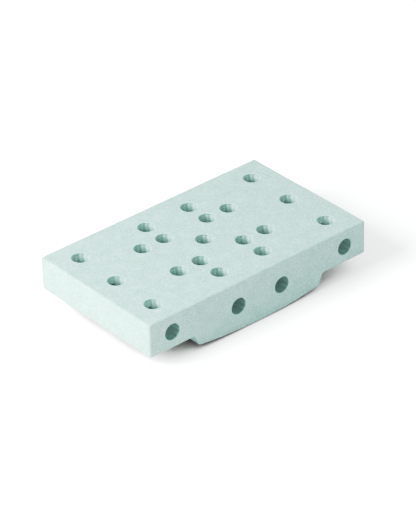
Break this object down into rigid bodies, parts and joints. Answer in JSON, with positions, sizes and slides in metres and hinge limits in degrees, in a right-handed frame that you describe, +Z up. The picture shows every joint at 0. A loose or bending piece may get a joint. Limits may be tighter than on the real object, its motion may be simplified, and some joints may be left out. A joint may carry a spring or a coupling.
{
  "type": "foam rocker building board",
  "caption": "Thick foam board with a curved rocker under it and a grid of round peg sockets through its top and long sides.",
  "frame": {"origin": "middle of the sole's lowest line, where the board touches the floor when level", "axes": "+X along the board, +Y across it, +Z up; it has mirror planes at X = 0 and Y = 0"},
  "size_m": [0.6, 0.36, 0.12],
  "materials": {
    "foam": "matte closed-cell foam, pale mint with fine pale flecks"
  },
  "bodies": {
    "root": {"deck_upper_sheet": "foam", "deck_lower_sheet": "foam", "rocker_base": "foam"}
  },
  "joints": []
}
